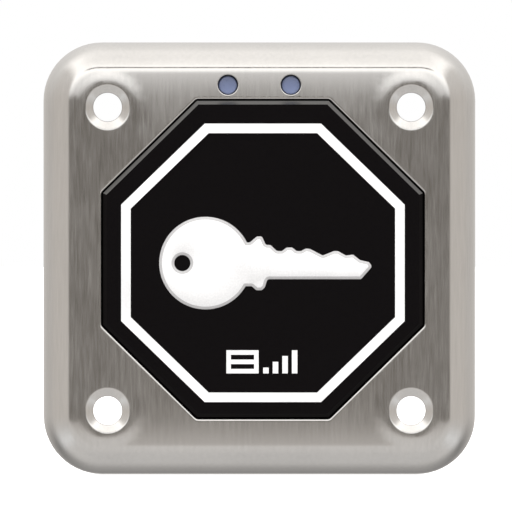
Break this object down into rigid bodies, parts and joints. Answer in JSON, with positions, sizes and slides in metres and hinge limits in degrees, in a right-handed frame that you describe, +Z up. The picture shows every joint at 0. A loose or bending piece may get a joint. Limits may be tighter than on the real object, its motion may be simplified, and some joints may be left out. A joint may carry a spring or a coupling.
{
  "type": "access-control proximity reader",
  "caption": "Square brushed-steel wall reader for key cards or fobs, with a black octagonal insert, key symbol, indicator lights and a rear tamper plunger.",
  "frame": {"origin": "centre of the square plate on the wall plane", "axes": "+Z up the wall, +X to the right seen from the front, front face towards -Y; the wall plane is y = 0"},
  "size_m": [0.086, 0.0189, 0.086],
  "materials": {
    "brushed_steel_plate": "vertically brushed stainless steel",
    "plated_steel": "bright zinc-plated steel",
    "grey_rubber": "dark grey closed-cell rubber",
    "black_moulding": "fine-textured black moulding",
    "white_graphic": "white filled graphic, satin",
    "grey_graphic": "light grey filled edge, satin",
    "light_pipe": "frosted blue-grey translucent plastic",
    "led_body": "ivory with a yellowish lens",
    "ivory_plastic": "natural nylon",
    "enamelled_copper": "enamelled copper wire",
    "board_laminate": "green solder mask on glass laminate",
    "component_black": "moulded epoxy",
    "tinned_metal": "tinned copper alloy",
    "can_metal": "drawn can",
    "capacitor_ceramic": "tan ceramic with tinned ends",
    "terminal_green": "moulded green nylon",
    "contact_brass": "gold-flashed contact",
    "plunger_plastic": "light grey acetal",
    "spring_steel": "spring wire",
    "black_cover": "coarser black moulding",
    "label_film": "blank silver-grey label film"
  },
  "bodies": {
    "reader": {"bezel": "brushed_steel_plate", "weld_studs": "plated_steel", "stud_washers": "plated_steel", "stud_nuts": "plated_steel", "bezel_gasket": "grey_rubber", "reader_front": "black_moulding", "ring_inlay": "white_graphic", "key_border": "grey_graphic", "key_inlay": "white_graphic", "card_mark_inlay": "white_graphic", "light_pipe_left": "light_pipe", "light_pipe_right": "light_pipe", "led_left": "led_body", "led_right": "led_body", "coil_bobbin": "ivory_plastic", "antenna_coil": "enamelled_copper", "coil_leads": "enamelled_copper", "circuit_board": "board_laminate", "board_screws": "plated_steel", "controller_chip": "component_black", "reader_chip": "component_black", "chip_leads": "tinned_metal", "voltage_regulator": "component_black", "crystal": "can_metal", "chip_capacitors": "capacitor_ceramic", "chip_resistors": "component_black", "reservoir_capacitors": "can_metal", "surge_diodes": "component_black", "sounder": "component_black", "terminal_block": "terminal_green", "terminal_screws": "plated_steel", "terminal_clamps": "plated_steel", "terminal_pins": "tinned_metal", "tamper_switch": "component_black", "tamper_contact": "contact_brass", "rear_cover": "black_cover", "cover_seal": "grey_rubber", "cover_screws": "plated_steel", "rating_label": "label_film"},
    "tamper": {"tamper_plunger": "plunger_plastic", "tamper_spring": "spring_steel"}
  },
  "joints": [
    {"name": "tamper_press", "type": "slide", "parent": "reader", "child": "tamper", "axis": [0, -1, 0], "range_m": [0, 0.0022], "stiffness_N_per_m": 300, "springref_m": -0.0008, "deforming": ["tamper_spring"]}
  ]
}
